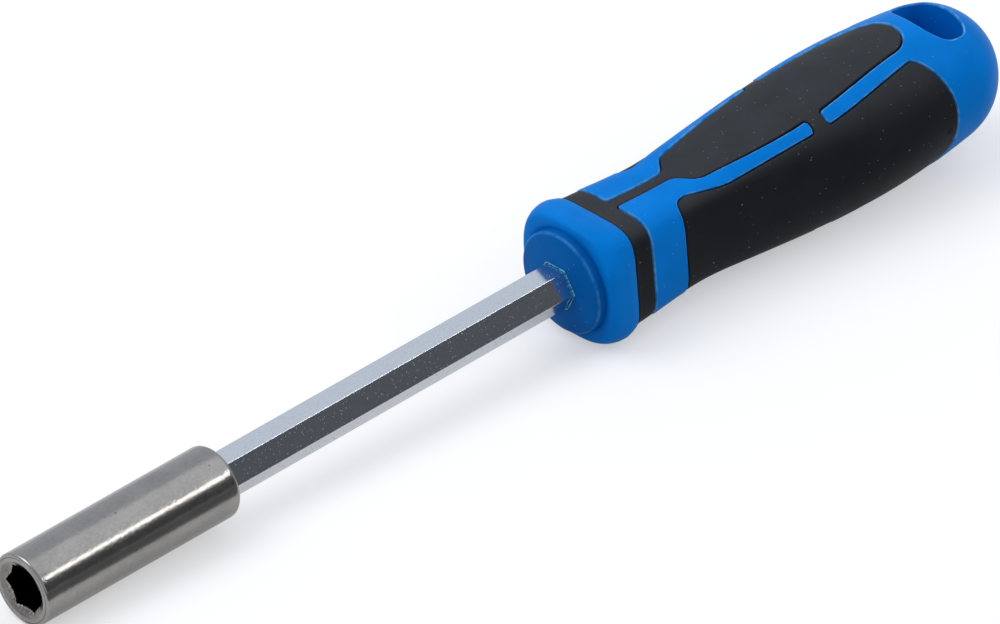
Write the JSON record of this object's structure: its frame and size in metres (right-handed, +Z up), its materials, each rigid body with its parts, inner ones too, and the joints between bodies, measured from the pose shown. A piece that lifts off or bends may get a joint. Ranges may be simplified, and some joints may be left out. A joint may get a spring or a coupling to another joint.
{
  "type": "bit driver handle",
  "caption": "Bit driver handle: a soft-grip plastic handle with a hanging hole, a hexagon steel shank and a round sleeve whose hexagon socket holds screwdriver bits.",
  "frame": {"origin": "under the middle of the tool's length, level with the lowest point of the grip's belly", "axes": "+X along the tool towards the sleeve's mouth, +Z up out of the grip's top panel, +Y to a side panel; the tool's axis is level"},
  "size_m": [0.1806, 0.0226, 0.0227],
  "materials": {
    "sleeve_steel": "satin",
    "ring_steel": "satin",
    "magnet": "satin",
    "shank_chrome": "gloss",
    "core_plastic": "satin",
    "body_plastic": "satin",
    "grip_rubber": "matte"
  },
  "bodies": {
    "root": {"bit_sleeve": "sleeve_steel", "retaining_ring": "ring_steel", "socket_magnet": "magnet", "hex_shank": "shank_chrome", "inner_core": "core_plastic", "handle_body": "body_plastic", "soft_grip": "grip_rubber"}
  },
  "joints": []
}
